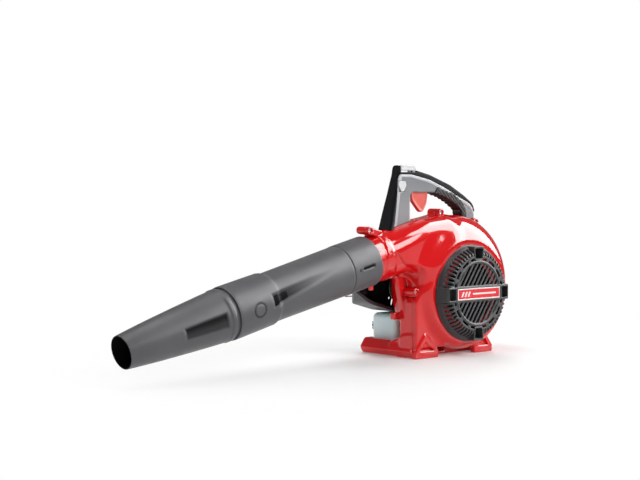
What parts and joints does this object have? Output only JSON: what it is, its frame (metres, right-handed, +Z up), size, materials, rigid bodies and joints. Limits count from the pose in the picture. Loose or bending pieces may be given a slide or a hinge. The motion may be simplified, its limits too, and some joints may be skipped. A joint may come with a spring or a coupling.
{
  "type": "handheld leaf blower",
  "caption": "Hand-held petrol leaf blower: red scroll casing with round inlet grille, arched trigger handle, sloping air tube with tapered nozzle, engine and fuel tank.",
  "frame": {"origin": "on the ground, straight below the impeller axis, on the mid-plane of the air duct", "axes": "+Z up; the air leaves towards -X, along the tube that slopes 13.5 degrees down; the impeller and crank axis is along Y, with the inlet grille at -Y and the engine and starter at +Y"},
  "size_m": [0.9311, 0.2448, 0.384],
  "materials": {
    "red_casing": "gloss",
    "grille_plastic": "satin",
    "badge": "gloss",
    "tube_plastic": "satin",
    "black_plastic": "satin",
    "grey_plastic": "satin",
    "cover_plastic": "satin",
    "grip_rubber": "matte",
    "trigger_plastic": "satin",
    "steel": "brushed",
    "aluminium": "cast",
    "spring_steel": "oiled",
    "ceramic": "glazed",
    "rubber": "matte",
    "rope": "braided",
    "tank_plastic": "satin",
    "fuel_hose": "satin",
    "foam": "open cell",
    "choke_plastic": "satin",
    "switch_plastic": "satin",
    "pulley_plastic": "satin"
  },
  "bodies": {
    "root": {"inlet_housing": "red_casing", "engine_side_housing": "red_casing", "inlet_grille": "grille_plastic", "grille_badge": "badge", "grille_screws": "steel", "housing_screws": "steel", "crank_bearings": "steel", "crank_seals": "rubber", "crankcase": "aluminium", "crankcase_screws": "steel", "cylinder": "aluminium", "spark_plug": "ceramic", "spark_plug_boot": "rubber", "ignition_coil": "black_plastic", "muffler": "steel", "carburetor": "aluminium", "intake_insulator": "black_plastic", "air_filter": "foam", "primer_base": "black_plastic", "fuel_tank": "tank_plastic", "fuel_line": "fuel_hose", "engine_cover": "cover_plastic", "starter_housing": "black_plastic", "starter_screws": "steel", "recoil_spring": "spring_steel", "handle_left": "grey_plastic", "handle_right": "grey_plastic", "handle_trim": "black_plastic", "handle_grip": "grip_rubber", "handle_screws": "steel", "trigger_pin": "steel", "trigger_spring": "spring_steel", "cruise_pin": "steel", "throttle_cable": "rubber", "upper_tube": "tube_plastic", "nozzle": "tube_plastic", "tube_lock_screw": "black_plastic"},
    "crank": {"impeller": "black_plastic", "impeller_nut": "steel", "crankshaft": "steel", "flywheel": "aluminium", "flywheel_nut": "steel"},
    "piston": {"piston": "aluminium", "piston_ring": "steel", "wrist_pin": "steel", "connecting_rod": "aluminium", "crankpin": "steel"},
    "trigger": {"throttle_trigger": "trigger_plastic"},
    "cruise": {"cruise_lever": "switch_plastic"},
    "switch": {"stop_switch": "switch_plastic"},
    "primer": {"primer_bulb": "rubber"},
    "choke": {"choke_lever": "choke_plastic"},
    "cap_seal": {"fuel_cap_seal": "rubber"},
    "cap": {"fuel_cap": "black_plastic"},
    "pulley": {"starter_pulley": "pulley_plastic"},
    "pull": {"pull_handle": "black_plastic", "starter_rope": "rope"}
  },
  "joints": [
    {"name": "crank_spin", "type": "hinge", "parent": "root", "child": "crank", "pos_m": [0, 0, 0.126], "axis": [0, -1, 0], "continuous": true},
    {"name": "piston_stroke", "type": "slide", "parent": "root", "child": "piston", "axis": [0, 0, 1], "range_m": [-0.028, 0]},
    {"name": "trigger_pull", "type": "hinge", "parent": "root", "child": "trigger", "pos_m": [-0.104, 0, 0.342], "axis": [0, -1, 0], "range_deg": [0, 18]},
    {"name": "cruise_turn", "type": "hinge", "parent": "root", "child": "cruise", "pos_m": [-0.107, 0, 0.375], "axis": [0, 1, 0], "range_deg": [0, 30]},
    {"name": "stop_slide", "type": "slide", "parent": "root", "child": "switch", "axis": [0, 0, -1], "range_m": [0, 0.006]},
    {"name": "primer_press", "type": "slide", "parent": "root", "child": "primer", "axis": [0, 0, -1], "range_m": [0, 0.004]},
    {"name": "choke_turn", "type": "hinge", "parent": "root", "child": "choke", "pos_m": [-0.148, 0.089, 0.182], "axis": [-1, 0, 0], "range_deg": [0, 75]},
    {"name": "cap_lift", "type": "slide", "parent": "root", "child": "cap_seal", "axis": [0, 1, 0], "range_m": [0, 0.0061]},
    {"name": "cap_turn", "type": "hinge", "parent": "cap_seal", "child": "cap", "pos_m": [-0.06, 0.13, 0.05], "axis": [0, 1, 0], "range_deg": [0, 720]},
    {"name": "rope_pull", "type": "slide", "parent": "root", "child": "pull", "axis": [0, 0, 1], "range_m": [0, 0.6], "deforming": ["starter_rope"]},
    {"name": "pulley_spin", "type": "hinge", "parent": "root", "child": "pulley", "pos_m": [0, 0.1405, 0.126], "axis": [0, -1, 0], "range_deg": [0, 1340]}
  ],
  "couplings": [
    {"joint": "pulley_spin", "follows": "rope_pull", "rad_per_m": 38.835},
    {"joint": "cap_lift", "follows": "cap_turn", "m_per_rad": 0.00047746}
  ]
}
